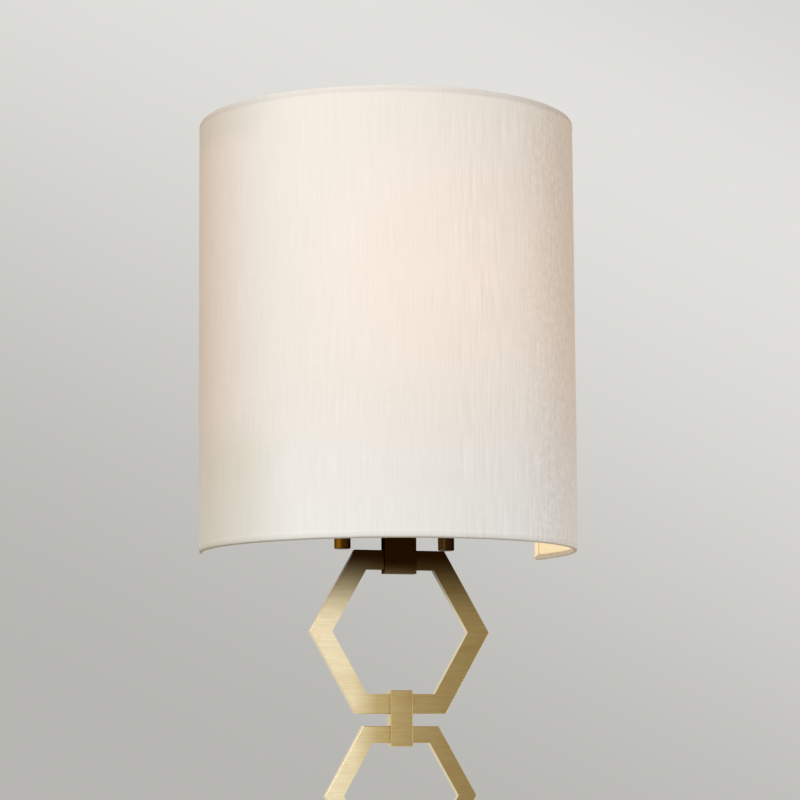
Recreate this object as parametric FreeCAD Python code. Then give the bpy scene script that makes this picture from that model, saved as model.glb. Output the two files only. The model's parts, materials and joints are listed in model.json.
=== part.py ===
"""Wall sconce: half-round fabric shade over a short arm, with a column of three hexagon frames below it.

Millimetres. While the parts are made, x runs to the viewer's right, depth is the distance out from the wall
(it becomes -Y), and height is counted from the shade's lower rim. The finished parts are shifted so that the
origin lies on the wall, at the centre of the wall screws, with +Z up.
"""

import FreeCAD
import Part
import math
import os

os.makedirs("parts", exist_ok=True)

# General
cut_overrun = 2.0
seat_gap = 0.3
close_fit = 0.05
through_clearance = 0.3
pick_tolerance = 0.01
parallel_share = 0.9
root_three = math.sqrt(3.0)
rod_sides = 8
domed_head_shares = ((1.0, 0.0), (1.0, 0.3), (0.84, 0.76), (0.5, 1.0))

# Shade: the shell
shade_width = 203.2
shade_height = 233.0
shade_wall_gap = 3.0
shade_half_angle = 106.0
fabric_thickness = 0.5
lining_thickness = 0.8
wire_diameter = 2.0
wire_clearance = 0.05

# Shade: the fitter that stands on the arm
fitter_thickness = 1.5
fitter_plate_diameter = 72.0
fitter_hole_diameter = 44.0
fitter_back_depth = 25.0
fitter_arm_width = 14.0
fitter_flange_height = 18.0
fitter_nut_width = 8.0
fitter_nut_height = 3.2

# Thumb screws that hold the shade
thumb_screw_spacing = 58.2
thumb_screw_depth = 42.6
thumb_head_diameter = 8.7
thumb_head_length = 14.0
thumb_head_chamfer = 0.5
thumb_washer_diameter = 10.0
thumb_washer_thickness = 1.0
thumb_thread_diameter = 4.0
thumb_thread_above_nut = 0.8

# Arm bracket
arm_underside_height = 16.0
arm_thickness = 3.0
arm_width = 28.0
arm_upright_height = 41.0
arm_bend_radius = 1.5
arm_front_margin = 2.0
arm_ear_width = 14.0
arm_screw_spacing = 16.0
arm_screw_top_margin = 6.5
arm_screw_diameter = 4.0
arm_screw_head_diameter = 7.5
arm_screw_head_height = 2.4
arm_nut_width = 7.0
arm_nut_height = 3.2
arm_screw_past_nut = 0.5

# Backplate
backplate_width = 112.0
backplate_height = 84.0
backplate_depth = 20.0
backplate_wall = 1.2
backplate_corner_radius = 8.0
backplate_edge_radius = 3.0
backplate_bottom_height = 14.5
backplate_screw_spacing = 86.0
backplate_screw_diameter = 4.0
backplate_screw_head_diameter = 8.0
backplate_screw_head_height = 2.6

# Wall bracket
bracket_length = 98.0
bracket_height = 20.0
bracket_thickness = 1.5
bracket_tab_width = 28.0
bracket_tab_height = 26.0
bracket_corner_radius = 4.0
wall_screw_spacing = 60.0
wall_slot_width = 4.5
wall_slot_length = 12.0
cable_hole_diameter = 10.0
bush_diameter = 7.0
bush_length = 5.0
earth_screw_offset = 15.0
earth_screw_diameter = 4.0
earth_screw_head_diameter = 7.0
earth_screw_head_height = 2.4
earth_screw_slot_width = 1.0
earth_screw_slot_depth = 1.2
earth_washer_diameter = 8.0
earth_washer_thickness = 0.8

# Terminal block, with one pole for each core
core_names = ("live_core", "earth_core", "neutral_core")
terminal_pitch = 8.0
terminal_block_height = 17.0
terminal_block_base = 8.0
terminal_tower_diameter = 5.6
terminal_tower_height = 4.0
terminal_tower_spacing = 9.6
terminal_screw_diameter = 3.0
terminal_screw_sink = 0.8
terminal_screw_length = 3.0
terminal_entry_diameter = 3.0
terminal_block_side_margin = 1.0
terminal_fixing_diameter = 3.0
terminal_fixing_head_diameter = 5.0
terminal_fixing_head_height = 1.6

# Lead from the terminal block to the lampholder
lead_diameter = 5.0
lead_bend_radius = 7.0
lead_rise_depth = 9.0
lead_top_margin = 11.0
lead_into_lampholder = 2.0
core_diameter = 1.5
core_pitch_at_lead = 1.6
core_straight_length = 2.0
core_in_terminal = 3.0
core_bend_radius = 2.0
grommet_flange_diameter = 12.0
grommet_flange_thickness = 1.2
grommet_hole_diameter = 9.0

# Lampholder
lamp_axis_depth = 40.0
nipple_diameter = 10.0
nipple_bore = 7.0
nipple_below_nut = 1.0
nipple_into_base = 5.0
lampholder_nut_width = 14.0
lampholder_nut_height = 3.5
spacer_diameter = 15.0
spacer_height = 12.0
lampholder_diameter = 26.0
lampholder_base_height = 12.0
lampholder_base_neck_diameter = 18.0
lampholder_wall = 1.6
lampholder_body_height = 42.0
lampholder_floor_height = 9.0
lampholder_floor_thickness = 4.0
lampholder_bore = 18.0
lampholder_rivet_bore = 2.0
holder_shell_thickness = 0.5
holder_shell_height = 25.0
holder_contact_width = 4.0
holder_contact_thickness = 0.5
holder_contact_rise = 2.5
holder_contact_length = 9.0
holder_contact_bend_share = 0.17

# Lamp with a candle-shaped bulb
lamp_length = 100.0
lamp_cap_diameter = 13.8
lamp_cap_height = 19.0
lamp_cap_thickness = 0.4
lamp_collar_height = 3.0
lamp_collar_overlap_share = 0.25
lamp_tip_diameter = 5.0
lamp_tip_height = 1.6
lamp_insulator_height = 2.4
lamp_glass_diameter = 35.0
lamp_glass_thickness = 0.8
lamp_neck_diameter = 14.4
lamp_neck_above_collar = 1.5
lamp_belly_height_share = 0.36
lamp_roundness_share = 0.56
lamp_flank_steps = 12
filament_height = 27.0
filament_spread_diameter = 9.0
filament_diameter = 1.4
filament_count = 4
stem_diameter = 8.0
stem_top_diameter = 4.0
stem_height = 22.0
stem_flare_height = 6.0
mast_diameter = 1.6
filament_plate_thickness = 0.6

# Hexagon frames, from the top down, and the clasps between them
hexagon_names = ("large_hexagon", "middle_hexagon", "small_hexagon")
clasp_names = ("upper_clasp", "lower_clasp")
hexagon_width = 99.6
hexagon_ratio_share = 0.8414
hexagon_bar_share = 0.105
hexagon_thickness = 4.0
hexagon_front_depth = 51.8
hexagon_edge_chamfer = 0.35
hexagon_gap_share = 0.0643

# Clasps between the frames, and the hanger over the first one
clasp_width_share = 0.1225
clasp_lip_share = 0.019
clasp_face = 1.35
clasp_edge_chamfer = 0.3
clasp_screw_diameter_share = 0.025
clasp_screw_head_share = 0.045
clasp_screw_spacing_share = 0.059
clasp_screw_engagement_share = 0.6
hanger_width = 17.6
hanger_cover_rise = 7.0
hanger_screw_diameter = 3.0
hanger_screw_head_diameter = 5.0
hanger_screw_spacing = 10.0
hanger_screw_length = 9.0

# Sizes worked out from the above
shade_radius = shade_width / 2
roll_radius = wire_diameter / 2 + wire_clearance + fabric_thickness
shade_wire_radius = shade_radius - roll_radius
half_angle_rad = math.radians(shade_half_angle)
shade_axis_depth = shade_wall_gap + roll_radius - shade_wire_radius * math.cos(half_angle_rad)
fabric_inner_radius = shade_radius - fabric_thickness
lining_radius = fabric_inner_radius - seat_gap
liner_inner_radius = lining_radius - lining_thickness
arm_top_height = arm_underside_height + arm_thickness
fitter_top_height = arm_top_height + fitter_thickness
arm_face_depth = backplate_depth + arm_thickness
clasp_back_depth = hexagon_front_depth - hexagon_thickness
clasp_front_depth = hexagon_front_depth + clasp_face
cover_back_depth = clasp_back_depth - clasp_face
arm_front_depth = clasp_front_depth + arm_front_margin
lead_height = arm_top_height + spacer_height + lampholder_base_height / 2
mount_height = backplate_bottom_height + backplate_height / 2
hexagon_widths = [hexagon_width * hexagon_ratio_share ** i for i in range(len(hexagon_names))]


def vec(x, depth, height):
    """A point from its place to the right, its depth out from the wall and its height."""
    return FreeCAD.Vector(x, -depth, height)


def save(name, shape):
    """Shifts a finished part so that the wall screws' centre is the origin, and writes it."""
    moved = shape.copy()
    moved.translate(FreeCAD.Vector(0, 0, -mount_height))
    if not moved.isValid():
        raise ValueError(name + " is not a valid solid")
    moved.exportStep("parts/" + name + ".step")


def block(x_low, x_high, depth_low, depth_high, height_low, height_high):
    """A box between two places along each direction."""
    return Part.makeBox(x_high - x_low, depth_high - depth_low, height_high - height_low,
                        vec(x_low, depth_high, height_low))


def upright(radius, x, depth, low, high):
    """A cylinder on a vertical axis."""
    return Part.makeCylinder(radius, high - low, vec(x, depth, low), vec(0, 0, 1))


def outward(radius, x, height, depth_low, depth_high):
    """A cylinder whose axis points straight out from the wall."""
    return Part.makeCylinder(radius, depth_high - depth_low, vec(x, depth_low, height), vec(0, 1, 0))


def fuse(shapes):
    """One solid from several that touch or overlap."""
    whole = shapes[0]
    for other in shapes[1:]:
        whole = whole.fuse(other)
    return whole.removeSplitter()


def group(shapes):
    """Separate solids kept together in one part."""
    return Part.makeCompound(shapes)


def turned(profile, x, depth, angle=360.0):
    """Turns a closed outline of (radius, height) points about a vertical axis."""
    points = [FreeCAD.Vector(radius, 0, height) for radius, height in profile]
    face = Part.Face(Part.makePolygon(points + points[:1]))
    solid = face.revolve(FreeCAD.Vector(0, 0, 0), FreeCAD.Vector(0, 0, 1), angle)
    solid.translate(vec(x, depth, 0))
    return solid


def hexagonal_prism(width_over_flats, x, depth, low, high):
    """A six-sided upright prism with two of its flats facing the wall and the viewer."""
    corner_radius = width_over_flats / root_three
    points = [vec(x + corner_radius * math.cos(math.radians(60 * i)),
                  depth + corner_radius * math.sin(math.radians(60 * i)), low) for i in range(6)]
    return Part.Face(Part.makePolygon(points + points[:1])).extrude(vec(0, 0, high - low))


def rounded_plate(width, height, thickness, radius, x, depth, middle_height):
    """A plate parallel to the wall with rounded corners, its back face at the given depth."""
    plate = block(x - width / 2, x + width / 2, depth, depth + thickness,
                  middle_height - height / 2, middle_height + height / 2)
    corners = [edge for edge in plate.Edges if abs(edge.tangentAt(edge.FirstParameter).y) > parallel_share]
    return plate.makeFillet(radius, corners)


def edges_at(solid, depth, height=None):
    """The edges of a solid that lie at one depth, and at one height where that is given too."""
    found = [edge for edge in solid.Edges if abs(edge.CenterOfMass.y + depth) < pick_tolerance]
    if height is not None:
        found = [edge for edge in found if abs(edge.CenterOfMass.z - height) < pick_tolerance]
    return found


def turned_outward(profile, x, height):
    """Turns a closed outline of (radius, depth) points about an axis straight out from the wall."""
    solid = turned(profile, 0, 0)
    solid.rotate(FreeCAD.Vector(0, 0, 0), FreeCAD.Vector(1, 0, 0), 90)
    solid.translate(vec(x, 0, height))
    return solid


def domed_head(radius, x, height, face_depth, thickness):
    """A raised round screw head that stands on a face."""
    rim = [(radius * share, face_depth + thickness * rise) for share, rise in domed_head_shares]
    return turned_outward([(0, face_depth)] + rim + [(0, face_depth + thickness)], x, height)


def rounded_path(points, bend_radius):
    """A line of straight runs joined by tangent arcs of one radius."""
    edges = []
    start = points[0]
    for before, corner, after in zip(points, points[1:], points[2:]):
        way_in = (corner - before).normalize()
        way_out = (after - corner).normalize()
        half_turn = way_in.getAngle(way_out) / 2
        cut_back = bend_radius * math.tan(half_turn)
        arc_start = corner - way_in * cut_back
        arc_end = corner + way_out * cut_back
        inward = (way_out - way_in).normalize()
        centre = corner + inward * (bend_radius / math.cos(half_turn))
        edges.append(Part.LineSegment(start, arc_start).toShape())
        edges.append(Part.Arc(arc_start, centre - inward * bend_radius, arc_end).toShape())
        start = arc_end
    edges.append(Part.LineSegment(start, points[-1]).toShape())
    return Part.Wire(edges)


def piped(points, bend_radius, diameter):
    """A round cable that follows a rounded path."""
    ring = Part.Wire(Part.makeCircle(diameter / 2, points[0], points[1] - points[0]))
    return rounded_path(points, bend_radius).makePipeShell([ring], True, False)


def round_the_shade(profile, half_angle):
    """Turns an outline of (radius, height) points about the shade's axis, centred on the viewer's side."""
    solid = turned(profile, 0, 0, 2 * half_angle)
    solid.rotate(FreeCAD.Vector(0, 0, 0), FreeCAD.Vector(0, 0, 1), -90 - half_angle)
    solid.translate(vec(0, shade_axis_depth, 0))
    return solid


def ring_sector(outer, inner, low, high, half_angle):
    """An upright wall of the shade's plan between two radii."""
    return round_the_shade([(inner, low), (outer, low), (outer, high), (inner, high)], half_angle)


def rod_section(rod_radius, middle, height):
    """A rod's section about a place, with a few flat sides that lie at the rod's radius."""
    corner = rod_radius / math.cos(math.pi / rod_sides)
    angles = [math.pi * (2 * i + 1) / rod_sides for i in range(rod_sides)]
    return [(middle + corner * math.cos(angle), height + corner * math.sin(angle)) for angle in angles]


def end_rod(rod_radius, side, low, high):
    """An upright rod at one of the two ends of the shade's plan, square to the plan's line there."""
    section = [FreeCAD.Vector(x, y, 0) for x, y in rod_section(rod_radius, shade_wire_radius, 0)]
    rod = Part.Face(Part.makePolygon(section + section[:1])).extrude(vec(0, 0, high - low))
    rod.rotate(FreeCAD.Vector(0, 0, 0), FreeCAD.Vector(0, 0, 1), -90 + side * shade_half_angle)
    rod.translate(vec(0, shade_axis_depth, low))
    return rod


def frame_rods(rod_radius):
    """The shade's wire frame, or the rolled cloth around it: two rods bent to its plan, two upright."""
    low = roll_radius
    high = shade_height - roll_radius
    rods = {name: round_the_shade(rod_section(rod_radius, shade_wire_radius, height), shade_half_angle)
            for name, height in (("lower", low), ("upper", high))}
    for name, side in (("left", -1), ("right", 1)):
        rods[name] = end_rod(rod_radius, side, low - rod_radius, high + rod_radius)
    return rods


def make_shade():
    """The cloth rolled round its wires, the stiff lining behind it, the wires and the fitter."""
    rolls = frame_rods(roll_radius)
    hollow = frame_rods(wire_diameter / 2 + wire_clearance)
    wall = ring_sector(shade_radius, fabric_inner_radius, roll_radius, shade_height - roll_radius,
                       shade_half_angle)
    cloth = fuse([wall] + list(rolls.values()))
    cloth = cloth.cut(fuse(list(hollow.values())))
    save("shade_fabric", cloth)

    roll_angle = math.degrees((roll_radius + seat_gap) / shade_wire_radius)
    lining = ring_sector(lining_radius, liner_inner_radius, 2 * roll_radius,
                         shade_height - 2 * roll_radius, shade_half_angle - roll_angle)
    save("shade_lining", lining)

    wires = frame_rods(wire_diameter / 2)
    ends = [wires["left"], wires["right"]]
    save("shade_end_wires", group(ends))
    for name, rod in (("shade_lower_wire", wires["lower"]), ("shade_upper_wire", wires["upper"])):
        for end in ends:
            rod = rod.cut(end)
        save(name, rod)
    make_fitter()


def make_fitter():
    """The horseshoe plate across the shade: it stands on the arm and its flanges are bonded to the lining."""
    plate = upright(fitter_plate_diameter / 2, 0, lamp_axis_depth, arm_top_height, fitter_top_height)
    arm_low = thumb_screw_depth - fitter_arm_width / 2
    arm_high = thumb_screw_depth + fitter_arm_width / 2
    reach = block(-shade_radius, shade_radius, arm_low, arm_high, arm_top_height, fitter_top_height)
    inside = upright(liner_inner_radius, 0, shade_axis_depth, arm_top_height, fitter_top_height)
    flange_wall = ring_sector(liner_inner_radius, liner_inner_radius - fitter_thickness, arm_top_height,
                              arm_top_height + fitter_flange_height, shade_half_angle)
    flange_space = block(-shade_radius, shade_radius, arm_low, arm_high, arm_top_height,
                         arm_top_height + fitter_flange_height)
    fitter = fuse([plate, reach.common(inside), flange_wall.common(flange_space)])
    low = arm_top_height - cut_overrun
    high = fitter_top_height + cut_overrun
    fitter = fitter.cut(upright(fitter_hole_diameter / 2, 0, lamp_axis_depth, low, high))
    fitter = fitter.cut(block(-fitter_plate_diameter, fitter_plate_diameter, 0, fitter_back_depth, low, high))
    nuts = []
    for side in (-1, 1):
        x = side * thumb_screw_spacing / 2
        fitter = fitter.cut(upright(thumb_thread_diameter / 2 + through_clearance, x, thumb_screw_depth,
                                    low, high))
        nut = hexagonal_prism(fitter_nut_width, x, thumb_screw_depth, fitter_top_height,
                              fitter_top_height + fitter_nut_height)
        bore = upright(thumb_thread_diameter / 2 + close_fit, x, thumb_screw_depth, low,
                       fitter_top_height + fitter_nut_height + cut_overrun)
        nuts.append(nut.cut(bore))
    save("shade_fitter", fitter)
    save("shade_fitter_nuts", group(nuts))


def make_thumb_screws():
    """Two plain cylindrical heads under the arm, their threads up through the arm into the fitter's nuts."""
    for name, side in (("left", -1), ("right", 1)):
        x = side * thumb_screw_spacing / 2
        washer_low = arm_underside_height - thumb_washer_thickness
        washer = upright(thumb_washer_diameter / 2, x, thumb_screw_depth, washer_low, arm_underside_height)
        hole = upright(thumb_thread_diameter / 2 + through_clearance, x, thumb_screw_depth,
                       washer_low - cut_overrun, arm_underside_height + cut_overrun)
        save(name + "_thumb_washer", washer.cut(hole))

        head_low = washer_low - thumb_head_length
        radius = thumb_head_diameter / 2
        thread = thumb_thread_diameter / 2
        top = fitter_top_height + fitter_nut_height + thumb_thread_above_nut
        edge = thumb_head_chamfer
        profile = [(0, head_low), (radius - edge, head_low), (radius, head_low + edge),
                   (radius, washer_low - edge), (radius - edge, washer_low),
                   (thread, washer_low), (thread, top - edge), (thread - edge, top), (0, top)]
        save(name + "_thumb_screw", turned(profile, x, thumb_screw_depth))


def make_arm():
    """The bent arm: an upright leg on the backplate, a level leg with two ears, and its screws and nuts."""
    half = arm_width / 2
    top = arm_underside_height + arm_upright_height
    outline = [(backplate_depth, arm_underside_height), (arm_front_depth, arm_underside_height),
               (arm_front_depth, arm_top_height), (arm_face_depth, arm_top_height),
               (arm_face_depth, top), (backplate_depth, top)]
    points = [vec(-half, depth, height) for depth, height in outline]
    bent = Part.Face(Part.makePolygon(points + points[:1])).extrude(vec(arm_width, 0, 0))
    bent = bent.makeFillet(arm_bend_radius, edges_at(bent, arm_face_depth, arm_top_height))
    outer_bend = edges_at(bent, backplate_depth, arm_underside_height)
    bent = bent.makeFillet(arm_bend_radius + arm_thickness, outer_bend)
    ear_half = thumb_screw_spacing / 2
    round_end = arm_ear_width / 2
    ears = block(-ear_half, ear_half, thumb_screw_depth - round_end, thumb_screw_depth + round_end,
                 arm_underside_height, arm_top_height)
    ends = [upright(round_end, side * ear_half, thumb_screw_depth, arm_underside_height, arm_top_height)
            for side in (-1, 1)]
    arm = fuse([bent, ears] + ends)

    low = arm_underside_height - cut_overrun
    high = arm_top_height + cut_overrun
    for side in (-1, 1):
        arm = arm.cut(upright(thumb_thread_diameter / 2 + through_clearance, side * ear_half,
                              thumb_screw_depth, low, high))
    arm = arm.cut(upright(nipple_diameter / 2 + close_fit, 0, lamp_axis_depth, low, high))
    arm = arm.cut(outward(grommet_hole_diameter / 2, 0, lead_height, backplate_depth - cut_overrun,
                          arm_face_depth + cut_overrun))
    screw_height = top - arm_screw_top_margin
    for side in (-1, 1):
        arm = arm.cut(outward(arm_screw_diameter / 2 + close_fit, side * arm_screw_spacing / 2, screw_height,
                              backplate_depth - cut_overrun, arm_face_depth + cut_overrun))
    for cutter in hanger_screw_solids(close_fit):
        arm = arm.cut(cutter)
    save("arm_bracket", arm)

    screws = []
    nuts = []
    inner_face = backplate_depth - backplate_wall
    screw_end = inner_face - arm_nut_height - arm_screw_past_nut
    for side in (-1, 1):
        x = side * arm_screw_spacing / 2
        shank = outward(arm_screw_diameter / 2, x, screw_height, screw_end, arm_face_depth)
        head = domed_head(arm_screw_head_diameter / 2, x, screw_height, arm_face_depth, arm_screw_head_height)
        screws.append(fuse([shank, head]))
        nut = hexagonal_prism(arm_nut_width, 0, 0, 0, arm_nut_height)
        nut.rotate(FreeCAD.Vector(0, 0, 0), FreeCAD.Vector(1, 0, 0), 90)
        nut.translate(vec(x, inner_face - arm_nut_height, screw_height))
        nuts.append(nut.cut(outward(arm_screw_diameter / 2 + close_fit, x, screw_height, 0, backplate_depth)))
    save("arm_screws", group(screws))
    save("arm_nuts", group(nuts))


def hanger_screw_solids(clearance):
    """The two countersunk screws that pull the hanger up under the arm, grown by a clearance."""
    solids = []
    depth = (clasp_back_depth + clasp_front_depth) / 2
    shank = hanger_screw_diameter / 2 + clearance
    head = hanger_screw_head_diameter / 2 + clearance
    sink = head - shank
    for side in (-1, 1):
        profile = [(0, arm_top_height - hanger_screw_length), (shank, arm_top_height - hanger_screw_length),
                   (shank, arm_top_height - sink), (head, arm_top_height), (0, arm_top_height)]
        solids.append(turned(profile, side * hanger_screw_spacing / 2, depth))
    return solids


def make_backplate():
    """The shallow pan that covers the wall bracket, and the two screws that hold it."""
    middle = mount_height
    pan = rounded_plate(backplate_width, backplate_height, backplate_depth, backplate_corner_radius,
                        0, 0, middle)
    pan = pan.makeFillet(backplate_edge_radius, edges_at(pan, backplate_depth))
    inside = rounded_plate(backplate_width - 2 * backplate_wall, backplate_height - 2 * backplate_wall,
                           backplate_depth - backplate_wall + cut_overrun,
                           backplate_corner_radius - backplate_wall, 0, -cut_overrun, middle)
    pan = pan.cut(inside.makeChamfer(backplate_edge_radius - backplate_wall,
                                     edges_at(inside, backplate_depth - backplate_wall)))
    low = backplate_depth - backplate_wall - cut_overrun
    high = backplate_depth + cut_overrun
    screw_height = arm_underside_height + arm_upright_height - arm_screw_top_margin
    pan = pan.cut(outward(grommet_hole_diameter / 2, 0, lead_height, low, high))
    screws = []
    for side in (-1, 1):
        pan = pan.cut(outward(arm_screw_diameter / 2 + close_fit, side * arm_screw_spacing / 2, screw_height,
                              low, high))
        x = side * backplate_screw_spacing / 2
        pan = pan.cut(outward(backplate_screw_diameter / 2 + through_clearance, x, middle, low, high))
        shank = outward(backplate_screw_diameter / 2, x, middle, 0, backplate_depth)
        head = domed_head(backplate_screw_head_diameter / 2, x, middle, backplate_depth,
                          backplate_screw_head_height)
        screws.append(fuse([shank, head]))
    save("backplate", pan)
    save("backplate_screws", group(screws))


def make_wall_bracket():
    """The slotted bar that is screwed to the wall, with its tab, two threaded bushes and the earth screw."""
    middle = mount_height
    bar = rounded_plate(bracket_length, bracket_height, bracket_thickness, bracket_corner_radius,
                        0, 0, middle)
    tab_middle = middle + bracket_tab_height / 2
    tab = rounded_plate(bracket_tab_width, bracket_tab_height + bracket_height, bracket_thickness,
                        bracket_corner_radius, 0, 0, tab_middle)
    bushes = [outward(bush_diameter / 2, side * backplate_screw_spacing / 2, middle, 0, bush_length)
              for side in (-1, 1)]
    bracket = fuse([bar, tab] + bushes)
    low = -cut_overrun
    high = bush_length + cut_overrun
    slot_radius = wall_slot_width / 2
    straight = wall_slot_length / 2 - slot_radius
    for side in (-1, 1):
        x = side * wall_screw_spacing / 2
        flat = block(x - straight, x + straight, low, high, middle - slot_radius, middle + slot_radius)
        rounds = [outward(slot_radius, x + end * straight, middle, low, high) for end in (-1, 1)]
        bracket = bracket.cut(fuse([flat] + rounds))
        bracket = bracket.cut(outward(backplate_screw_diameter / 2 + close_fit,
                                      side * backplate_screw_spacing / 2, middle, low, high))
    bracket = bracket.cut(outward(cable_hole_diameter / 2, 0, middle, low, high))
    earth_x = earth_screw_offset
    earth_hole = earth_screw_diameter / 2 + close_fit
    bracket = bracket.cut(outward(earth_hole, earth_x, middle, low, high))
    bracket = bracket.cut(outward(terminal_fixing_diameter / 2 + close_fit, terminal_pitch / 2,
                                  terminal_middle_height(), low, high))
    save("wall_bracket", bracket)

    washer_face = bracket_thickness + earth_washer_thickness
    washer = outward(earth_washer_diameter / 2, earth_x, middle, bracket_thickness, washer_face)
    save("earth_washer", washer.cut(outward(earth_hole, earth_x, middle, low, high)))
    head_face = washer_face + earth_screw_head_height
    shank = outward(earth_screw_diameter / 2, earth_x, middle, 0, washer_face)
    head = outward(earth_screw_head_diameter / 2, earth_x, middle, washer_face, head_face)
    slot = block(earth_x - earth_screw_head_diameter, earth_x + earth_screw_head_diameter,
                 head_face - earth_screw_slot_depth, head_face + cut_overrun,
                 middle - earth_screw_slot_width / 2, middle + earth_screw_slot_width / 2)
    save("earth_screw", fuse([shank, head]).cut(slot))


def terminal_middle_height():
    """The terminal block sits in the middle of the bracket's tab."""
    return mount_height + bracket_height / 2 + bracket_tab_height / 2


def pole_places():
    """Where the terminal block's poles lie from left to right."""
    return [(i - (len(core_names) - 1) / 2) * terminal_pitch for i in range(len(core_names))]


def make_terminal_block():
    """Poles side by side, each with two clamp screws in towers, held by one screw."""
    middle = terminal_middle_height()
    poles = pole_places()
    width = len(poles) * terminal_pitch + 2 * terminal_block_side_margin
    base_face = bracket_thickness + terminal_block_base
    tower_face = base_face + terminal_tower_height
    low = middle - terminal_block_height / 2
    solids = [block(-width / 2, width / 2, bracket_thickness, base_face, low, low + terminal_block_height)]
    spots = [(x, middle + end * terminal_tower_spacing / 2) for x in poles for end in (-1, 1)]
    for x, height in spots:
        solids.append(outward(terminal_tower_diameter / 2, x, height, bracket_thickness, tower_face))
    body = fuse(solids)
    screws = []
    screw_face = tower_face - terminal_screw_sink
    for x, height in spots:
        body = body.cut(outward(terminal_screw_diameter / 2 + close_fit, x, height,
                                screw_face - terminal_screw_length, tower_face + cut_overrun))
        screws.append(outward(terminal_screw_diameter / 2, x, height, screw_face - terminal_screw_length,
                              screw_face))
    entry_depth = bracket_thickness + terminal_block_base / 2
    for x in poles:
        body = body.cut(upright(terminal_entry_diameter / 2, x, entry_depth, low - cut_overrun,
                                low + terminal_block_height + cut_overrun))
    fixing_x = terminal_pitch / 2
    body = body.cut(outward(terminal_fixing_diameter / 2 + close_fit, fixing_x, middle, 0,
                            tower_face + cut_overrun))
    save("terminal_block", body)
    save("terminal_screws", group(screws))
    save("terminal_fixing_screw",
         fuse([outward(terminal_fixing_diameter / 2, fixing_x, middle, 0, base_face),
               outward(terminal_fixing_head_diameter / 2, fixing_x, middle, base_face,
                       base_face + terminal_fixing_head_height)]))


def make_lead():
    """The sheathed lead through the backplate's grommet into the lampholder, and its three cores."""
    lampholder_back = lamp_axis_depth - lampholder_diameter / 2
    end_depth = lampholder_back + lead_into_lampholder
    block_low = terminal_middle_height() - terminal_block_height / 2
    top = block_low - lead_top_margin
    route = [vec(0, end_depth, lead_height), vec(0, lead_rise_depth, lead_height),
             vec(0, lead_rise_depth, top)]
    save("lamp_lead", piped(route, lead_bend_radius, lead_diameter))

    entry_depth = bracket_thickness + terminal_block_base / 2
    for name, x in zip(core_names, pole_places()):
        lead_x = x * core_pitch_at_lead / terminal_pitch
        route = [vec(lead_x, lead_rise_depth, top), vec(lead_x, lead_rise_depth, top + core_straight_length),
                 vec(x, entry_depth, block_low - core_straight_length),
                 vec(x, entry_depth, block_low + core_in_terminal)]
        save(name, piped(route, core_bend_radius, core_diameter))

    flange = grommet_flange_diameter / 2
    throat = grommet_hole_diameter / 2 - close_fit
    bore = lead_diameter / 2 + close_fit
    back = backplate_depth - backplate_wall
    back_end = back - grommet_flange_thickness
    front_end = arm_face_depth + grommet_flange_thickness
    profile = [(bore, back_end), (flange, back_end), (flange, back), (throat, back),
               (throat, arm_face_depth), (flange, arm_face_depth), (flange, front_end), (bore, front_end)]
    save("lead_grommet", turned_outward(profile, 0, lead_height))


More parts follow.
